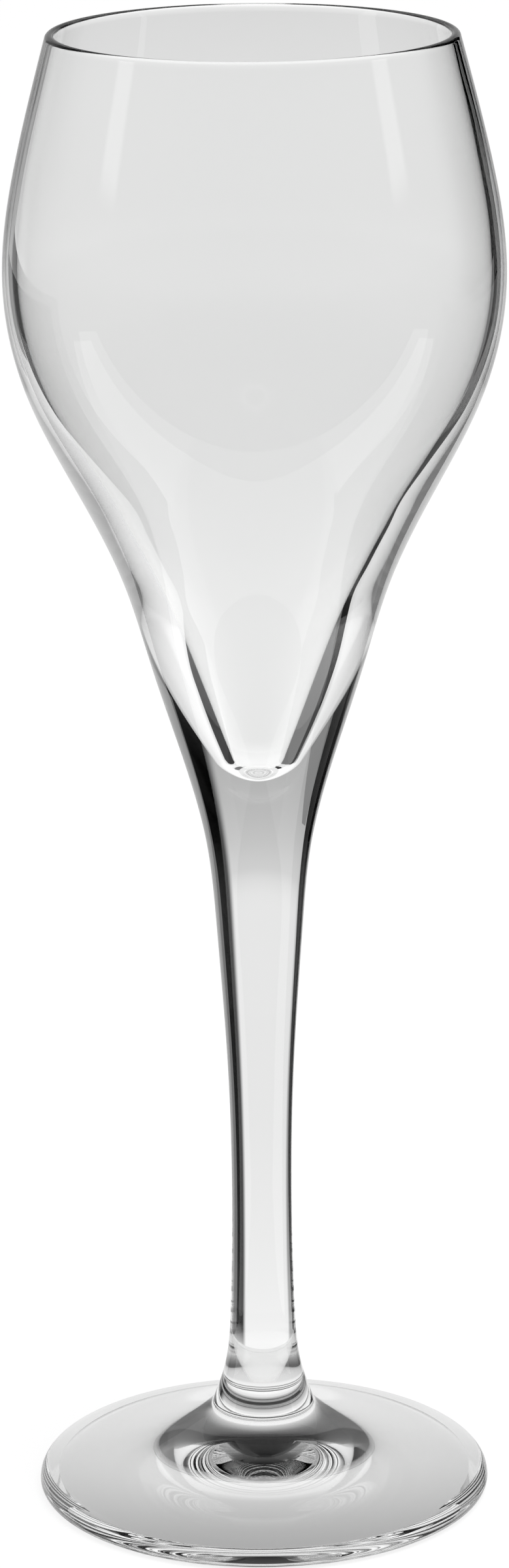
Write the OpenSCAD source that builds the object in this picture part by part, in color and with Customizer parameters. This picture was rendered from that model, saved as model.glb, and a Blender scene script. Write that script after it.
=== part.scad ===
// Champagne glass in clear glass: a blown bowl, a solid drawn stem and a pressed foot,
// made apart and fused end to end while hot.
// Millimetres, +Z up along the axis. The origin is the centre of the ring that the foot stands on.

/* [Foot] */
// Diameter of the foot at its widest line
foot_d = 61.6; // [50:0.1:75]
// Height of the widest line above the table
edge_low_h = 0.95; // [0.6:0.05:2]
// Height from the widest line to the top of the rounded edge
edge_high_h = 1.95; // [1:0.05:3]
// Reach of the edge rounding below the widest line
edge_low_reach = 1.05; // [0.6:0.05:3]
// Reach of the edge rounding above the widest line
edge_high_reach = 1.6; // [0.6:0.1:4]
// Width of the flat ring that meets the table
rest_ring_w = 2; // [1:0.1:8]
// Depth of the hollow under the foot, at the axis
kick_h = 4.2; // [2:0.1:5]
// How the hollow falls from the axis to the ring: 1 is a cone, higher is flatter at the middle
kick_power = 1.75; // [1.2:0.05:2.5]
// Rise of the foot's top face at its edge, in degrees
top_pitch = 10.8; // [8:0.1:14]
// Length over which the top face leaves the edge straight
top_run = 4; // [2:0.1:12]
// Height of the boss's lower end, where the top face has swept up
boss_base_h = 12; // [9:0.1:15]
// Diameter of the boss at its lower end
boss_base_d = 13.7; // [11.5:0.1:16]
// Length over which the boss runs down into the top face
boss_run = 3.4; // [2:0.1:7]
// Height of the boss, from its lower end to the joint with the stem
boss_h = 5; // [3:0.1:9]

/* [Stem] */
// Diameter of the joint between foot and stem
ankle_d = 10.46; // [8.5:0.1:13]
// Diameter low on the stem, where its flare towards the foot begins
flare_d = 8.9; // [7:0.1:11]
// Height of that point above the joint with the foot
flare_rise = 7; // [4:0.1:11]
// Diameter at the slimmest point
slim_d = 8.2; // [6:0.1:10]
// Height of the slimmest point above the start of the flare
slim_rise = 13; // [8:0.1:20]
// Diameter midway up
mid_d = 8.92; // [7:0.1:12]
// Height of the midway point above the slimmest point
mid_rise = 23; // [14:0.5:34]
// Diameter high on the stem
high_d = 11.57; // [9:0.1:14]
// Height of the high point above the midway point
high_rise = 20; // [12:0.5:30]
// Diameter of the joint between stem and bowl
neck_d = 14.14; // [12:0.1:17]
// Height of that joint above the high point
neck_rise = 12; // [8:0.1:18]

/* [Bowl] */
// Diameter at the throat, just above the floor of the bowl
throat_d = 20.4; // [18.5:0.1:24]
// Height of the throat above the joint with the stem
throat_rise = 12; // [11:0.1:16]
// Diameter at the waist, where the outline is steepest
waist_d = 28; // [25:0.1:32]
// Height of the waist above the throat
waist_rise = 12; // [8:0.1:16]
// Diameter at the hip, where the bowl begins to open
hip_d = 35.45; // [32:0.1:40]
// Height of the hip above the waist
hip_rise = 12; // [8:0.1:16]
// Diameter at the shoulder, where the bowl opens fastest
shoulder_d = 46.84; // [42:0.1:52]
// Height of the shoulder above the hip
shoulder_rise = 12; // [8:0.1:16]
// Diameter at the flank, below the widest part
flank_d = 58.8; // [54:0.1:62]
// Height of the flank above the shoulder
flank_rise = 12; // [8:0.1:16]
// Widest diameter of the bowl
belly_d = 65.47; // [60:0.1:72]
// Height of the widest part above the flank
belly_rise = 16.5; // [12:0.1:22]
// Diameter where the bowl closes in above the belly
crown_d = 61.32; // [56:0.1:66]
// Height of that point above the belly
crown_rise = 15.5; // [11:0.1:20]
// Diameter at the lip
lip_d = 53.14; // [46:0.1:62]
// Height of the lip above the crown
lip_rise = 16; // [11:0.1:24]

/* [Wall] */
// Thickness at the throat
throat_wall = 6.9; // [5:0.05:7.5]
// Thickness at the waist
waist_wall = 5.65; // [4.5:0.05:8]
// Thickness at the hip
hip_wall = 4.15; // [3:0.05:7]
// Thickness at the shoulder
shoulder_wall = 3.25; // [2.5:0.05:6]
// Thickness at the flank
flank_wall = 2.4; // [1.5:0.05:4]
// Thickness at the belly
belly_wall = 1.9; // [1:0.05:2.5]
// Thickness at the crown
crown_wall = 1.65; // [0.9:0.05:2]
// Thickness at the lip
lip_wall = 1.15; // [0.8:0.05:1.6]
// Height of the rounding on top of the lip
lip_round_h = 0.5; // [0.2:0.05:0.8]
// Height of the bowl's floor above the joint with the stem
floor_rise = 10.2; // [9:0.1:12]
// Height over which the floor curves up into the wall
floor_round_h = 2.7; // [0.6:0.1:3.5]

/* [Hidden] */
$fn = 128;
glass_tint = [0.9, 0.93, 0.94, 0.45];
// Straight pieces per curve: between two stations, round an edge, along the foot's top face
station_steps = 8;
round_steps = 8;
sweep_steps = 24;
kick_steps = 16;

// Heights of the two joints and of the bowl's stations
foot_joint_z = boss_base_h + boss_h;
flare_z = foot_joint_z + flare_rise;
slim_z = flare_z + slim_rise;
mid_z = slim_z + mid_rise;
high_z = mid_z + high_rise;
bowl_joint_z = high_z + neck_rise;
throat_z = bowl_joint_z + throat_rise;
waist_z = throat_z + waist_rise;
hip_z = waist_z + hip_rise;
shoulder_z = hip_z + shoulder_rise;
flank_z = shoulder_z + flank_rise;
belly_z = flank_z + belly_rise;
crown_z = belly_z + crown_rise;
lip_z = crown_z + lip_rise;
lip_start_z = lip_z - lip_round_h;
floor_z = bowl_joint_z + floor_rise;
floor_top_z = floor_z + floor_round_h;

// Outline of the glass from the boss to the lip, as [height, radius]
outline = [
    [boss_base_h, boss_base_d / 2],
    [foot_joint_z, ankle_d / 2],
    [flare_z, flare_d / 2],
    [slim_z, slim_d / 2],
    [mid_z, mid_d / 2],
    [high_z, high_d / 2],
    [bowl_joint_z, neck_d / 2],
    [throat_z, throat_d / 2],
    [waist_z, waist_d / 2],
    [hip_z, hip_d / 2],
    [shoulder_z, shoulder_d / 2],
    [flank_z, flank_d / 2],
    [belly_z, belly_d / 2],
    [crown_z, crown_d / 2],
    [lip_z, lip_d / 2],
];

// Thickness of the bowl's wall, measured level, as [height, thickness]
wall = [
    [throat_z, throat_wall],
    [waist_z, waist_wall],
    [hip_z, hip_wall],
    [shoulder_z, shoulder_wall],
    [flank_z, flank_wall],
    [belly_z, belly_wall],
    [crown_z, crown_wall],
    [lip_z, lip_wall],
];

// Smooth curve through stations: the bend (second derivative) at each one follows from
// equal slopes on both sides of it, with no bend at the two ends.
function gap(s, i) = s[i + 1][0] - s[i][0];
function steepness(s, i) = (s[i + 1][1] - s[i][1]) / gap(s, i);
function sweep_up(s, i = 1, c = [0], d = [0]) =
    i == len(s) - 1 ? [c, d] :
    let (pivot = 2 * (gap(s, i - 1) + gap(s, i)) - gap(s, i - 1) * c[i - 1],
         load = 6 * (steepness(s, i) - steepness(s, i - 1)) - gap(s, i - 1) * d[i - 1])
    sweep_up(s, i + 1, concat(c, gap(s, i) / pivot), concat(d, load / pivot));
function sweep_down(c, d, i, bends) =
    i < 0 ? bends : sweep_down(c, d, i - 1, concat(d[i] - c[i] * bends[0], bends));
function station_bends(s) = let (u = sweep_up(s)) sweep_down(u[0], u[1], len(s) - 2, [0]);
outline_bends = station_bends(outline);
wall_bends = station_bends(wall);

// Index of the stretch that holds height z; the end stretches also serve heights beyond them
function stretch(s, z, i = 0) = i >= len(s) - 2 || z < s[i + 1][0] ? i : stretch(s, z, i + 1);
function curve_at(s, bends, z) =
    let (i = stretch(s, z), h = gap(s, i), up = s[i + 1][0] - z, low = z - s[i][0])
    (bends[i] * pow(up, 3) + bends[i + 1] * pow(low, 3)) / (6 * h)
        + (s[i][1] / h - bends[i] * h / 6) * up + (s[i + 1][1] / h - bends[i + 1] * h / 6) * low;
function outer_r(z) = curve_at(outline, outline_bends, z);
function inner_r(z) = outer_r(z) - curve_at(wall, wall_bends, z);

// Heights from one end to the other, with even steps between the stations that lie between them
function stops(from, to) =
    [from, for (p = outline) if (p[0] > from && p[0] < to) p[0], to];
function levels(from, to) =
    let (z = stops(from, to))
    [for (i = [0 : len(z) - 2], k = [0 : station_steps - 1])
        z[i] + (z[i + 1] - z[i]) * k / station_steps, to];
function outer_points(from, to) = [for (z = levels(from, to)) [outer_r(z), z]];
function reversed(list) = [for (i = [len(list) - 1 : -1 : 0]) list[i]];

// Cubic curve from a to d, pulled towards b and c
function pulled(a, b, c, d, t) =
    pow(1 - t, 3) * a + 3 * t * pow(1 - t, 2) * b + 3 * t * t * (1 - t) * c + pow(t, 3) * d;

module bowl() {
    lip_outer = outer_r(lip_start_z);
    lip_inner = inner_r(lip_start_z);
    lip_mid = (lip_outer + lip_inner) / 2;
    lip_half = (lip_outer - lip_inner) / 2;
    // How far the rounding leans in, so that it runs on from both faces of the wall
    below_z = lip_start_z - lip_round_h;
    lip_lean = lip_mid - (outer_r(below_z) + inner_r(below_z)) / 2;
    lip_points = [for (k = [1 : 2 * round_steps - 1]) let (a = 90 * k / round_steps)
        [lip_mid + lip_half * cos(a) + lip_lean * sin(a), lip_start_z + lip_round_h * sin(a)]];
    inner_points = [for (z = reversed(levels(floor_top_z, lip_start_z))) [inner_r(z), z]];
    floor_points = [for (k = [1 : round_steps]) let (a = 90 * k / round_steps)
        let (z = floor_top_z - floor_round_h * sin(a)) [k == round_steps ? 0 : inner_r(z) * cos(a), z]];
    color(glass_tint) rotate_extrude() polygon(concat(
        [[0, bowl_joint_z]],
        outer_points(bowl_joint_z, lip_start_z),
        lip_points,
        inner_points,
        floor_points
    ));
}

module stem() {
    color(glass_tint) rotate_extrude() polygon(concat(
        [[0, foot_joint_z]],
        outer_points(foot_joint_z, bowl_joint_z),
        [[0, bowl_joint_z]]
    ));
}

module foot() {
    foot_r = foot_d / 2;
    ring_outer = foot_r - edge_low_reach;
    ring_inner = ring_outer - rest_ring_w;
    // The edge turns until it runs into the top face without a crease
    edge_turn = atan2(edge_high_h, edge_high_reach * tan(top_pitch));
    edge_high_points = [for (k = [1 : round_steps]) let (a = edge_turn * k / round_steps)
        [foot_r - edge_high_reach * (1 - cos(a)), edge_low_h + edge_high_h * sin(a)]];
    edge_top = edge_high_points[round_steps - 1];
    boss_base = [boss_base_d / 2, boss_base_h];
    // Direction in which the boss runs down into the top face
    boss_lean = steepness(outline, 0) - outline_bends[1] * boss_h / 6;
    boss_pull = boss_run * [-boss_lean, -1] / norm([boss_lean, 1]);
    edge_pull = top_run * [-cos(top_pitch), sin(top_pitch)];
    kick_points = [for (k = [0 : kick_steps]) let (u = k / kick_steps)
        [ring_inner * u, kick_h * (1 - pow(u, kick_power))]];
    edge_low_points = [for (k = [0 : round_steps]) let (a = 90 * k / round_steps)
        [ring_outer + edge_low_reach * sin(a), edge_low_h * (1 - cos(a))]];
    top_points = [for (k = [1 : sweep_steps - 1])
        pulled(edge_top, edge_top + edge_pull, boss_base + boss_pull, boss_base, k / sweep_steps)];
    color(glass_tint) rotate_extrude() polygon(concat(
        kick_points,
        edge_low_points,
        edge_high_points,
        top_points,
        outer_points(boss_base_h, foot_joint_z),
        [[0, foot_joint_z]]
    ));
}

bowl();
stem();
foot();
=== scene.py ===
import math

import bpy
import numpy as np
from mathutils import Matrix, Vector


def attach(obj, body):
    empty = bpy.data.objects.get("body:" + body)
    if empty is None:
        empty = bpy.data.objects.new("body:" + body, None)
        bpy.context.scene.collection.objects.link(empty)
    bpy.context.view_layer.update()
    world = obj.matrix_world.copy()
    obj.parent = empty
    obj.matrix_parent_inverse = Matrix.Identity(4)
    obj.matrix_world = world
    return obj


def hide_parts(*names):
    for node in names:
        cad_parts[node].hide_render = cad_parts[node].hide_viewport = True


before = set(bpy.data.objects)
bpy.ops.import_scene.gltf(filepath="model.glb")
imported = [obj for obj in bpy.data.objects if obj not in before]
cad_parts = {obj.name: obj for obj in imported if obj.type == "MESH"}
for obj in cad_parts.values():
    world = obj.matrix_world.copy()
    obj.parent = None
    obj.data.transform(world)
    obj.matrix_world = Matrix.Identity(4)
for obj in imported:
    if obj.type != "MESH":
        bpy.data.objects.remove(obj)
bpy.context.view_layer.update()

MM = 0.001

# Outline of the glass from the foot's boss to the lip: heights and diameters in mm
OUTLINE = [
    (12, 13.7), (17, 10.46), (24, 8.9), (37, 8.2), (60, 8.92), (80, 11.57), (92, 14.14), (104, 20.4),
    (116, 28), (128, 35.45), (140, 46.84), (152, 58.8), (168.5, 65.47), (184, 61.32), (200, 53.14),
]
# Wall of the bowl, measured level: heights and thicknesses in mm
WALL = [
    (104, 6.9), (116, 5.65), (128, 4.15), (140, 3.25), (152, 2.4), (168.5, 1.9), (184, 1.65), (200, 1.15),
]
# Joints, lip and the floor of the bowl in mm
FOOT_JOINT_Z = 17
BOWL_JOINT_Z = 92
LIP_Z = 200
LIP_ROUND = 0.5
FLOOR_Z = 102.2
FLOOR_ROUND = 2.7
# Foot in mm: rounded edge, ring that it stands on, hollow, and sweep from the edge up to the boss
FOOT_R = 30.8
EDGE_LOW_H = 0.95
EDGE_HIGH_H = 1.95
EDGE_LOW_REACH = 1.05
EDGE_HIGH_REACH = 1.6
REST_RING_W = 2
KICK_H = 4.2
KICK_POWER = 1.75
TOP_PITCH = math.radians(10.8)
TOP_RUN = 4
BOSS_RUN = 3.4
# Fineness: points round the axis, spacing in mm along a wall, and points along each curve
SEGMENTS = 256
STEP = 0.6
LIP_POINTS = 25
FLOOR_POINTS = 25
KICK_POINTS = 49
EDGE_POINTS = 17
SWEEP_POINTS = 65
ON_AXIS = 1e-9
SAME_POINT = 1e-6


def spline(stations):
    """Smooth curve through (height, value) stations, unbent at both ends: gives value and slope."""
    x = np.array([s[0] for s in stations], float)
    y = np.array([s[1] for s in stations], float)
    h = np.diff(x)
    slope = np.diff(y) / h
    n = len(x)
    a = np.eye(n)
    b = np.zeros(n)
    for i in range(1, n - 1):
        a[i, i - 1:i + 2] = h[i - 1], 2 * (h[i - 1] + h[i]), h[i]
        b[i] = 6 * (slope[i] - slope[i - 1])
    bend = np.linalg.solve(a, b)

    def at(z):
        z = np.asarray(z, float)
        i = np.clip(np.searchsorted(x, z, side="right") - 1, 0, n - 2)
        up, low = x[i + 1] - z, z - x[i]
        value = (bend[i] * up ** 3 + bend[i + 1] * low ** 3) / (6 * h[i])
        value += (y[i] / h[i] - bend[i] * h[i] / 6) * up + (y[i + 1] / h[i] - bend[i + 1] * h[i] / 6) * low
        rate = (bend[i + 1] * low ** 2 - bend[i] * up ** 2) / (2 * h[i])
        rate += slope[i] - (bend[i + 1] - bend[i]) * h[i] / 6
        return value, rate

    return at


outline = spline([(z, d / 2) for z, d in OUTLINE])
wall = spline(WALL)


def outer(z):
    return outline(z)[0]


def inner(z):
    return outline(z)[0] - wall(z)[0]


def steps(start, end):
    """Even heights from start to end."""
    return np.linspace(start, end, max(2, int(abs(end - start) / STEP) + 2))


def run(points):
    """A smooth stretch of a profile: points and the normals that face out of the glass."""
    points = np.asarray(points, float)
    seg = np.diff(points, axis=0)
    length = np.hypot(seg[:, 0], seg[:, 1])
    unit = seg / length[:, None]
    tangent = np.empty_like(points)
    after, before = length[1:, None], length[:-1, None]
    tangent[1:-1] = (unit[:-1] * after + unit[1:] * before) / (after + before)
    tangent[0] = 2 * unit[0] - tangent[1]
    tangent[-1] = 2 * unit[-1] - tangent[-2]
    tangent /= np.hypot(tangent[:, 0], tangent[:, 1])[:, None]
    return points, np.stack([tangent[:, 1], -tangent[:, 0]], axis=1)


def wall_run(start, end):
    """The outline between two heights, with its exact normals."""
    z = steps(start, end)
    r, rate = outline(z)
    normals = np.stack([np.ones_like(rate), -rate], axis=1)
    return np.stack([r, z], axis=1), normals / np.linalg.norm(normals, axis=1)[:, None]


def cap_run(z, facing):
    """Flat joint face at a height: from the axis out if it faces down, from the wall in if it faces up."""
    r = outer(z)
    ends = [(0, z), (r, z)] if facing < 0 else [(r, z), (0, z)]
    return np.array(ends, float), np.array([(0, facing)] * 2, float)


def lathe(name, runs, joints, materials):
    """One closed piece turned round the axis from runs; joints are the runs that are joint faces."""
    angle = np.arange(SEGMENTS) * 2 * math.pi / SEGMENTS
    cos, sin = np.cos(angle), np.sin(angle)
    verts, faces, normals, slots = [], [], [], []
    following = (np.arange(SEGMENTS) + 1) % SEGMENTS
    last_point, last_ring = None, None

    def ring_of(point):
        r, z = point * MM
        first = len(verts)
        if r < ON_AXIS:
            verts.append((0, 0, z))
            return np.full(SEGMENTS, first)
        verts.extend(zip(r * cos, r * sin, np.full(SEGMENTS, z)))
        return first + np.arange(SEGMENTS)

    def turned(normal):
        return np.stack([normal[0] * cos, normal[0] * sin, np.full(SEGMENTS, normal[1])], axis=1)

    for number, (points, face_normals) in enumerate(runs):
        rings = []
        for i, point in enumerate(points):
            same = i == 0 and last_point is not None and np.allclose(point, last_point, atol=SAME_POINT)
            rings.append(last_ring if same else ring_of(point))
        last_point, last_ring = points[-1], rings[-1]
        for i in range(len(points) - 1):
            low, high = rings[i], rings[i + 1]
            at_low, at_high = turned(face_normals[i]), turned(face_normals[i + 1])
            for k in range(SEGMENTS):
                m = following[k]
                corners = [
                    (low[k], at_low[k]), (low[m], at_low[m]), (high[m], at_high[m]), (high[k], at_high[k]),
                ]
                if low[0] == low[1]:
                    del corners[1]
                elif high[0] == high[1]:
                    del corners[3]
                faces.append([int(c[0]) for c in corners])
                normals.extend(tuple(c[1]) for c in corners)
                slots.append(1 if number in joints else 0)
    piece = add_mesh(name, verts, faces, materials)
    piece.data.polygons.foreach_set("use_smooth", [True] * len(faces))
    piece.data.polygons.foreach_set("material_index", slots)
    piece.data.normals_split_custom_set(normals)
    return piece


def add_mesh(name, verts, faces, materials):
    mesh = bpy.data.meshes.new(name)
    mesh.from_pydata(verts, [], faces)
    for material in materials:
        mesh.materials.append(material)
    made = bpy.data.objects.new(name, mesh)
    bpy.context.scene.collection.objects.link(made)
    return made


def bowl_runs():
    start = LIP_Z - LIP_ROUND
    mid, half = (outer(start) + inner(start)) / 2, (outer(start) - inner(start)) / 2
    lean = mid - (outer(start - LIP_ROUND) + inner(start - LIP_ROUND)) / 2
    a = np.linspace(0, math.pi, LIP_POINTS)
    lip = np.stack([mid + half * np.cos(a) + lean * np.sin(a), start + LIP_ROUND * np.sin(a)], axis=1)
    z = steps(start, FLOOR_Z + FLOOR_ROUND)
    inside = np.stack([inner(z), z], axis=1)
    a = np.linspace(0, math.pi / 2, FLOOR_POINTS)
    z = FLOOR_Z + FLOOR_ROUND * (1 - np.sin(a))
    floor = np.stack([inner(z) * np.cos(a), z], axis=1)
    floor[-1, 0] = 0
    shell = run(np.concatenate([lip, inside[1:], floor[1:]]))
    rate = outline(start)[1]
    shell[1][0] = np.array([1, -rate]) / math.hypot(1, rate)
    shell[1][-1] = 0, 1
    return [cap_run(BOWL_JOINT_Z, -1), wall_run(BOWL_JOINT_Z, start), shell]


def stem_runs():
    return [cap_run(FOOT_JOINT_Z, -1), wall_run(FOOT_JOINT_Z, BOWL_JOINT_Z), cap_run(BOWL_JOINT_Z, 1)]


def foot_runs():
    ring_outer = FOOT_R - EDGE_LOW_REACH
    ring_inner = ring_outer - REST_RING_W
    u = np.linspace(0, 1, KICK_POINTS)
    hollow = run(np.stack([ring_inner * u, KICK_H * (1 - u ** KICK_POWER)], axis=1))
    hollow[1][0] = 0, -1
    flat = np.array([[ring_inner, 0], [ring_outer, 0]]), np.array([[0, -1], [0, -1]], float)
    a = np.linspace(0, math.pi / 2, EDGE_POINTS)
    low = np.stack([ring_outer + EDGE_LOW_REACH * np.sin(a), EDGE_LOW_H * (1 - np.cos(a))], axis=1)
    a = np.linspace(0, math.atan2(EDGE_HIGH_H, EDGE_HIGH_REACH * math.tan(TOP_PITCH)), EDGE_POINTS)
    high_r = FOOT_R - EDGE_HIGH_REACH * (1 - np.cos(a))
    high = np.stack([high_r, EDGE_LOW_H + EDGE_HIGH_H * np.sin(a)], axis=1)
    boss_z = OUTLINE[0][0]
    boss_r, boss_rate = outline(boss_z)
    start, end = high[-1], np.array([boss_r, boss_z])
    pull_a = start + TOP_RUN * np.array([-math.cos(TOP_PITCH), math.sin(TOP_PITCH)])
    pull_b = end - BOSS_RUN * np.array([boss_rate, 1]) / math.hypot(boss_rate, 1)
    t = np.linspace(0, 1, SWEEP_POINTS)[:, None]
    top = (1 - t) ** 3 * start + 3 * t * (1 - t) ** 2 * pull_a + 3 * t * t * (1 - t) * pull_b + t ** 3 * end
    rounded = run(np.concatenate([low, high[1:], top[1:]]))
    rounded[1][0] = 0, -1
    rounded[1][-1] = np.array([1, -boss_rate]) / math.hypot(1, boss_rate)
    return [hollow, flat, rounded, wall_run(boss_z, FOOT_JOINT_Z), cap_run(FOOT_JOINT_Z, 1)]


def node(tree, kind, **values):
    made = tree.nodes.new(kind)
    for key, value in values.items():
        setattr(made, key, value)
    return made


def feed(tree, socket, value):
    """Set a socket to a number, or link it to another node's output."""
    if isinstance(value, (int, float)):
        socket.default_value = value
    else:
        tree.links.new(value, socket)


def math_node(tree, operation, *values):
    made = node(tree, "ShaderNodeMath", operation=operation)
    for socket, value in zip(made.inputs, values):
        feed(tree, socket, value)
    return made.outputs[0]


def ramp_up(tree, value, start, end):
    """0 below start and 1 above end, with soft ends."""
    made = node(tree, "ShaderNodeMapRange", interpolation_type="SMOOTHSTEP")
    tree.links.new(value, made.inputs["Value"])
    made.inputs["From Min"].default_value = start
    made.inputs["From Max"].default_value = end
    return made.outputs[0]


def band(tree, value, start, full, fade, end):
    """1 between full and fade, soft to 0 at start and end."""
    rise = ramp_up(tree, value, start, full)
    fall = math_node(tree, "SUBTRACT", 1.0, ramp_up(tree, value, fade, end))
    return math_node(tree, "MULTIPLY", rise, fall)


def mix(tree, amount, low, high):
    made = node(tree, "ShaderNodeMix", data_type="FLOAT")
    for number, value in zip((0, 2, 3), (amount, low, high)):
        feed(tree, made.inputs[number], value)
    return made.outputs[0]


def mix_shader(tree, amount, low, high):
    made = node(tree, "ShaderNodeMixShader")
    for socket, value in zip(made.inputs, (amount, low, high)):
        feed(tree, socket, value)
    return made.outputs[0]


def bare_material(name):
    """A material with nothing but its output: gives the material, its tree and the socket to fill."""
    mat = bpy.data.materials.new(name)
    mat.use_nodes = True
    tree = mat.node_tree
    tree.nodes.clear()
    return mat, tree, node(tree, "ShaderNodeOutputMaterial").inputs["Surface"]


# Light by elevation in degrees: backdrop and table behind the glass, both sides, and in front
BACK = [
    (-90, 1.0), (-60, 1.1), (-40, 1.08), (-30, 1.0), (-22, 0.89), (-18, 0.85), (-11.5, 0.84), (-10, 0.77),
    (-8.5, 0.66), (-5, 0.6), (2, 0.5), (10, 0.38), (18, 0.18), (30, 0.04), (90, 0.0),
]
LEFT = [
    (-90, 1.0), (-62, 1.0), (-48, 0.85), (-36, 0.7), (-28, 0.45), (-20, 0.3), (-5, 0.38), (3, 0.4),
    (8, 0.05), (90, 0.05),
]
RIGHT = [(-90, 0.9), (-36, 0.9), (-26, 0.0), (12, 0.0), (90, 0.05)]
FRONT = [
    (-90, 0.9), (-40, 0.8), (-25, 0.35), (-10, 0.32), (0, 0.42), (10, 0.3), (30, 0.1), (90, 0.0),
]
# A colour ramp stops at 1, so its lights are stored as shares of this one
RAMP_TOP = 2.0
# Azimuths, right and left, between which the backdrop ends, and where the sides turn to the front
BACKDROP_RIGHT = (24, 32)
BACKDROP_LEFT = (43, 51)
TURN = (60, 80)
# Upright strip lights, one a side, that show by reflection only: azimuths and elevations with soft
# ends, and light
STRIP_AZIMUTH = (99, 102, 109, 112)
STRIP_ELEVATION = (8, 12, 16, 19)
STRIP_LIGHT = 1.7
# Faces of glass that light crosses on its way through both walls of the bowl
WALL_PASSES = 4


def height_ramp(tree, elevation, stops):
    """Light by elevation in degrees, straight between stops."""
    made = node(tree, "ShaderNodeValToRGB")
    tree.links.new(math_node(tree, "MULTIPLY_ADD", elevation, 1 / 180, 0.5), made.inputs[0])
    elements = made.color_ramp.elements
    while len(elements) < len(stops):
        elements.new(0.5)
    for element, (degrees, light) in zip(elements, stops):
        element.position = degrees / 180 + 0.5
        element.color = (light / RAMP_TOP,) * 3 + (1,)
    return math_node(tree, "MULTIPLY", made.outputs[0], RAMP_TOP)


def studio_group():
    """Light that the glass sees in each direction: backdrop, sides, front and the strip lights."""
    tree = bpy.data.node_groups.new("studio", "ShaderNodeTree")
    tree.interface.new_socket("Direction", in_out="INPUT", socket_type="NodeSocketVector")
    tree.interface.new_socket("Strips", in_out="INPUT", socket_type="NodeSocketFloat")
    tree.interface.new_socket("Through", in_out="INPUT", socket_type="NodeSocketFloat")
    tree.interface.new_socket("Light", in_out="OUTPUT", socket_type="NodeSocketFloat")
    entry = node(tree, "NodeGroupInput")
    leave = node(tree, "NodeGroupOutput")
    unit = node(tree, "ShaderNodeVectorMath", operation="NORMALIZE")
    tree.links.new(entry.outputs["Direction"], unit.inputs[0])
    split = node(tree, "ShaderNodeSeparateXYZ")
    tree.links.new(unit.outputs[0], split.inputs[0])
    to_degrees = 180 / math.pi
    azimuth = math_node(tree, "ARCTAN2", split.outputs[0], split.outputs[1])
    azimuth = math_node(tree, "MULTIPLY", azimuth, to_degrees)
    elevation = math_node(tree, "MULTIPLY", math_node(tree, "ARCSINE", split.outputs[2]), to_degrees)
    left = math_node(tree, "MULTIPLY", azimuth, -1.0)
    around = math_node(tree, "ABSOLUTE", azimuth)
    back = height_ramp(tree, elevation, BACK)
    light = back
    light = mix(tree, ramp_up(tree, azimuth, *BACKDROP_RIGHT), light, height_ramp(tree, elevation, RIGHT))
    light = mix(tree, ramp_up(tree, left, *BACKDROP_LEFT), light, height_ramp(tree, elevation, LEFT))
    light = mix(tree, ramp_up(tree, around, *TURN), light, height_ramp(tree, elevation, FRONT))
    light = mix(tree, entry.outputs["Through"], light, back)
    strip_across = band(tree, around, *STRIP_AZIMUTH)
    strip_up = band(tree, elevation, *STRIP_ELEVATION)
    strip = math_node(tree, "MULTIPLY", strip_across, strip_up)
    strip = math_node(tree, "MULTIPLY", strip, entry.outputs["Strips"])
    light = mix(tree, strip, light, STRIP_LIGHT)
    tree.links.new(light, leave.inputs["Light"])
    return tree


def last_turn(tree, path, operation):
    return math_node(tree, operation, path.outputs["Is Glossy Ray"], path.outputs["Is Transmission Ray"])


def seen_in_glass(tree, path):
    """1 for light that reaches the eye by way of the glass."""
    return last_turn(tree, path, "MAXIMUM")


def mirrored(tree, path):
    """1 for light whose last turn was a reflection."""
    return last_turn(tree, path, "GREATER_THAN")


def seen_through(tree, path):
    """1 for light that has passed both walls of the bowl, which shows the pale backdrop from any side."""
    return math_node(tree, "GREATER_THAN", path.outputs["Transmission Depth"], WALL_PASSES - 0.5)


def make_world():
    """White to the camera, and the studio in the glass."""
    world = bpy.data.worlds.new("studio")
    world.use_nodes = True
    tree = world.node_tree
    background = tree.nodes["Background"]
    background.inputs["Color"].default_value = (1, 1, 1, 1)
    coords = node(tree, "ShaderNodeTexCoord")
    path = node(tree, "ShaderNodeLightPath")
    studio = node(tree, "ShaderNodeGroup", node_tree=studio_group())
    tree.links.new(coords.outputs["Generated"], studio.inputs["Direction"])
    tree.links.new(mirrored(tree, path), studio.inputs["Strips"])
    tree.links.new(seen_through(tree, path), studio.inputs["Through"])
    strength = mix(tree, seen_in_glass(tree, path), 1.0, studio.outputs["Light"])
    tree.links.new(strength, background.inputs["Strength"])
    bpy.context.scene.world = world


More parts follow.
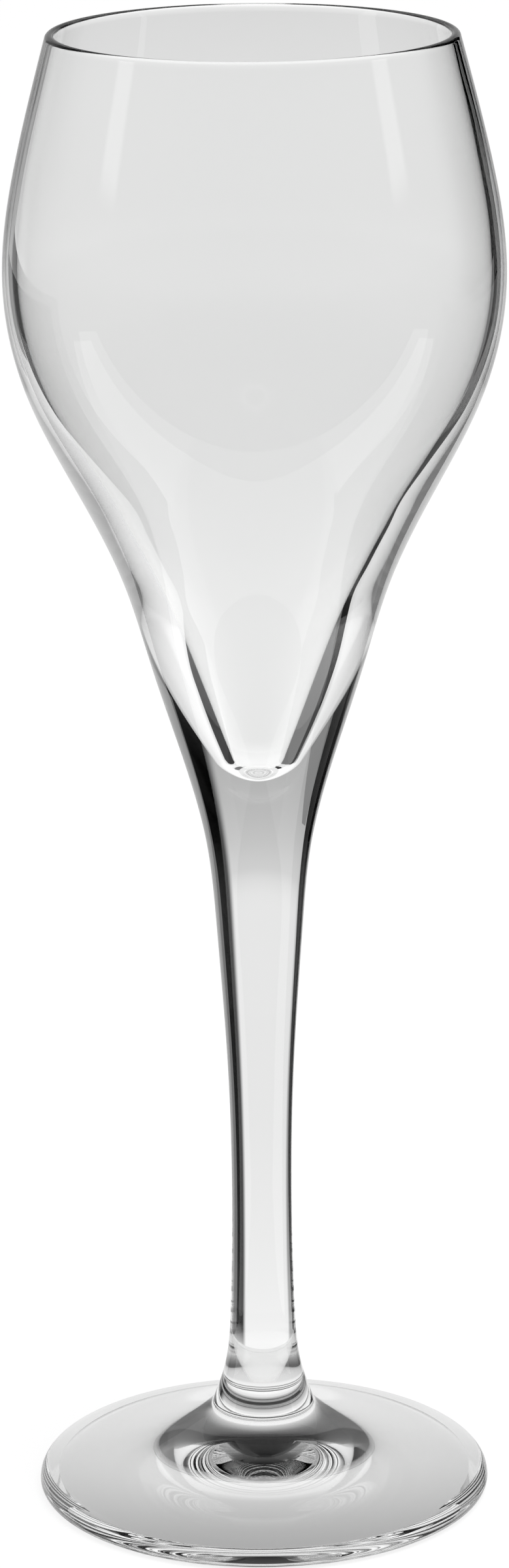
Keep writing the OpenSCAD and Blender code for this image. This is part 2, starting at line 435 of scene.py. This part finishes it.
# Dark cards and flags beside the glass, a dim sheet of painted shade for the table in front of it and a
# strip
# of bright table at each side: light, and corners in metres
CARDS = {
    "right_card": (0.0, [(0.1, 0.095, -0.05), (0.1, 0.125, -0.05), (0.1, 0.18, 0.15), (0.1, 0.095, 0.15)]),
    "right_card_near": (
        0.17, [(0.1, -0.01, -0.05), (0.1, 0.095, -0.05), (0.1, 0.095, 0.15), (0.1, -0.01, 0.15)],
    ),
    "left_card": (
        0.0, [(-0.112, 0.005, -0.05), (-0.112, 0.062, -0.05), (-0.112, 0.145, 0.15), (-0.112, 0.005, 0.15)],
    ),
    "right_flag": (0.0, [(0.1, 0.1, 0.15), (0.1, 0.21, 0.15), (0.1, 0.21, 0.26), (0.1, 0.1, 0.26)]),
    "left_flag": (
        0.25, [
            (-0.112, 0.13, 0.1), (-0.112, 0.16, 0.1), (-0.112, 0.23, 0.15), (-0.112, 0.23, 0.26),
            (-0.112, 0.145, 0.26),
        ],
    ),
    # Painted shade: the table in front of the glass, glowing dimly as if in shade
    "front_table_shade": (0.3, [(-1.5, -0.093, 0), (1.5, -0.093, 0), (1.5, -1.2, 0), (-1.5, -1.2, 0)]),
    "right_table": (1.1, [(0.08, -0.093, 0), (0.5, -0.093, 0), (0.5, -0.01, 0), (0.08, -0.01, 0)]),
    "left_table": (1.1, [(-0.5, -0.093, 0), (-0.08, -0.093, 0), (-0.08, 0.005, 0), (-0.5, 0.005, 0)]),
}


def show_in_glass_only(made):
    made.visible_camera = False
    made.visible_diffuse = False
    made.visible_shadow = False


def make_cards():
    """Stage pieces that only the glass sees, and not through both walls of the bowl."""
    for name, (light, corners) in CARDS.items():
        mat, tree, surface = bare_material(name)
        glow = node(tree, "ShaderNodeEmission")
        glow.inputs["Strength"].default_value = light
        path = node(tree, "ShaderNodeLightPath")
        clear = node(tree, "ShaderNodeBsdfTransparent")
        shown = mix_shader(tree, seen_through(tree, path), glow.outputs[0], clear.outputs[0])
        tree.links.new(shown, surface)
        card = add_mesh(name, corners, [range(len(corners))], [mat])
        show_in_glass_only(card)


# Table under the foot: radius, height and where its shade ends in metres, sides, and light
SHADE_R = 0.0325
SHADE_Z = -0.0001
SHADE_END = SHADE_R * 0.6
SHADE_SIDES = 64
SHADE_FRONT = 0.45
SHADE_BACK = 1.0


def make_shade():
    """Table right under the foot, as the glass shows it: darker towards the front."""
    mat, tree, surface = bare_material("foot_shade")
    glow = node(tree, "ShaderNodeEmission")
    coords = node(tree, "ShaderNodeTexCoord")
    split = node(tree, "ShaderNodeSeparateXYZ")
    tree.links.new(coords.outputs["Object"], split.inputs[0])
    back = ramp_up(tree, split.outputs[1], -SHADE_R, SHADE_END)
    tree.links.new(mix(tree, back, SHADE_FRONT, SHADE_BACK), glow.inputs["Strength"])
    tree.links.new(glow.outputs[0], surface)
    angle = np.arange(SHADE_SIDES) * 2 * math.pi / SHADE_SIDES
    rim = [(SHADE_R * math.cos(a), SHADE_R * math.sin(a), SHADE_Z) for a in angle]
    shade = add_mesh("foot_shade", rim, [range(SHADE_SIDES)], [mat])
    show_in_glass_only(shade)


# Floor: half its side and its height in metres, its colour, and the share of it that takes shadow
TABLE_HALF = 5.0
TABLE_Z = -0.0002
TABLE_COLOUR = (0.9, 0.9, 0.9, 1)
SHADOW_SHARE = 0.15


def make_floor():
    """Pale floor with the shadow of the glass. The glass shows the studio in place of it."""
    mat, tree, surface = bare_material("floor")
    path = node(tree, "ShaderNodeLightPath")
    clear = node(tree, "ShaderNodeBsdfTransparent")
    white = node(tree, "ShaderNodeEmission")
    lit = node(tree, "ShaderNodeBsdfDiffuse")
    lit.inputs["Color"].default_value = TABLE_COLOUR
    plain = mix_shader(tree, SHADOW_SHARE, white.outputs[0], lit.outputs[0])
    direct = mix_shader(tree, path.outputs["Is Camera Ray"], lit.outputs[0], plain)
    tree.links.new(mix_shader(tree, seen_in_glass(tree, path), direct, clear.outputs[0]), surface)
    h = TABLE_HALF
    floor = add_mesh("floor", [(-h, -h, 0), (h, -h, 0), (h, h, 0), (-h, h, 0)], [range(4)], [mat])
    floor.location.z = TABLE_Z


# Lamp over the glass: place and aim in metres, size in metres, power in watts
LAMP_PLACE = (0.3, -0.2, 1.4)
LAMP_AIM = (0, 0, 0.1)
LAMP_SIZE = 0.8
LAMP_POWER = 12


def make_lamp():
    data = bpy.data.lights.new("overhead", "AREA")
    data.shape = "DISK"
    data.size = LAMP_SIZE
    data.energy = LAMP_POWER
    lamp = bpy.data.objects.new("overhead", data)
    lamp.location = LAMP_PLACE
    aim = Vector(LAMP_AIM) - lamp.location
    lamp.rotation_euler = aim.to_track_quat("-Z", "Y").to_euler()
    lamp.visible_camera = False
    lamp.visible_glossy = False
    lamp.visible_transmission = False
    bpy.context.scene.collection.objects.link(lamp)


# Camera: place in metres, pitch down in degrees, slope of its roll, and in picture points its focal
# length, how far it looks past the axis, and the height of the picture
CAMERA_PLACE = (0, -0.7076, 0.3023)
CAMERA_PITCH = 15.978
CAMERA_ROLL = 0.00803
CAMERA_FOCAL = 8463
CAMERA_ASIDE = 6.22
PICTURE_H = 2400
SENSOR = 36
CLIP_NEAR = 0.05
CLIP_FAR = 50


def make_camera():
    pitch = math.radians(CAMERA_PITCH)
    roll = math.atan(CAMERA_ROLL)
    yaw = math.atan(CAMERA_ASIDE / CAMERA_FOCAL)
    right = Vector((1, 0, 0))
    ahead = Vector((0, math.cos(pitch), -math.sin(pitch)))
    up = Vector((0, math.sin(pitch), math.cos(pitch)))
    turned = right * math.cos(yaw) + ahead * math.sin(yaw)
    ahead = ahead * math.cos(yaw) - right * math.sin(yaw)
    right = turned * math.cos(roll) - up * math.sin(roll)
    up = up * math.cos(roll) + turned * math.sin(roll)
    data = bpy.data.cameras.new("camera")
    data.sensor_width = SENSOR
    data.lens = CAMERA_FOCAL / PICTURE_H * SENSOR
    data.clip_start = CLIP_NEAR
    data.clip_end = CLIP_FAR
    camera = bpy.data.objects.new("camera", data)
    bpy.context.scene.collection.objects.link(camera)
    turn = Matrix((right, up, -ahead)).transposed().to_4x4()
    camera.matrix_world = Matrix.Translation(CAMERA_PLACE) @ turn
    bpy.context.scene.camera = camera


# Glass: refractive index, the two ends of its faint tint, and its waves
GLASS_IOR = 1.52
TINT_LOW = (0.984, 0.989, 0.987, 1)
TINT_HIGH = (0.995, 0.994, 0.992, 1)
TINT_SCALE = 14
WAVE_SCALE = 42
WAVE_DEPTH = 0.0003
WAVE_SHARE = 0.12
NOISE_DETAIL = 2


def noise(tree, place, scale):
    made = node(tree, "ShaderNodeTexNoise")
    tree.links.new(place, made.inputs["Vector"])
    made.inputs["Scale"].default_value = scale
    made.inputs["Detail"].default_value = NOISE_DETAIL
    return made.outputs[0]


def make_glass():
    """Clear glass with the faint waves of its making and a trace of tint that drifts through it."""
    mat = bpy.data.materials.new("clear_glass")
    mat.use_nodes = True
    tree = mat.node_tree
    shader = tree.nodes["Principled BSDF"]
    place = node(tree, "ShaderNodeTexCoord").outputs["Object"]
    tint = node(tree, "ShaderNodeMix", data_type="RGBA")
    tint.inputs[6].default_value = TINT_LOW
    tint.inputs[7].default_value = TINT_HIGH
    tree.links.new(noise(tree, place, TINT_SCALE), tint.inputs[0])
    tree.links.new(tint.outputs[2], shader.inputs["Base Color"])
    waves = node(tree, "ShaderNodeBump")
    waves.inputs["Strength"].default_value = WAVE_SHARE
    waves.inputs["Distance"].default_value = WAVE_DEPTH
    tree.links.new(noise(tree, place, WAVE_SCALE), waves.inputs["Height"])
    tree.links.new(waves.outputs[0], shader.inputs["Normal"])
    shader.inputs["Roughness"].default_value = 0.0
    shader.inputs["IOR"].default_value = GLASS_IOR
    shader.inputs["Transmission Weight"].default_value = 1.0
    return mat


def make_joint():
    """Joint faces are clear, because fused glass shows no seam."""
    mat, tree, surface = bare_material("fused_joint")
    tree.links.new(node(tree, "ShaderNodeBsdfTransparent").outputs[0], surface)
    return mat


BOUNCES = 48

make_camera()
make_world()
make_floor()
make_cards()
make_shade()
make_lamp()
materials = [make_glass(), make_joint()]
pieces = {
    "bowl": lathe("bowl_glass", bowl_runs(), {0}, materials),
    "stem": lathe("stem_glass", stem_runs(), {0, 2}, materials),
    "foot": lathe("foot_glass", foot_runs(), {4}, materials),
}
for name, piece in pieces.items():
    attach(piece, "root")
    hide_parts(name)

scene = bpy.context.scene
scene.view_settings.view_transform = "Standard"
scene.cycles.max_bounces = BOUNCES
scene.cycles.glossy_bounces = BOUNCES
scene.cycles.transmission_bounces = BOUNCES
scene.cycles.transparent_max_bounces = BOUNCES
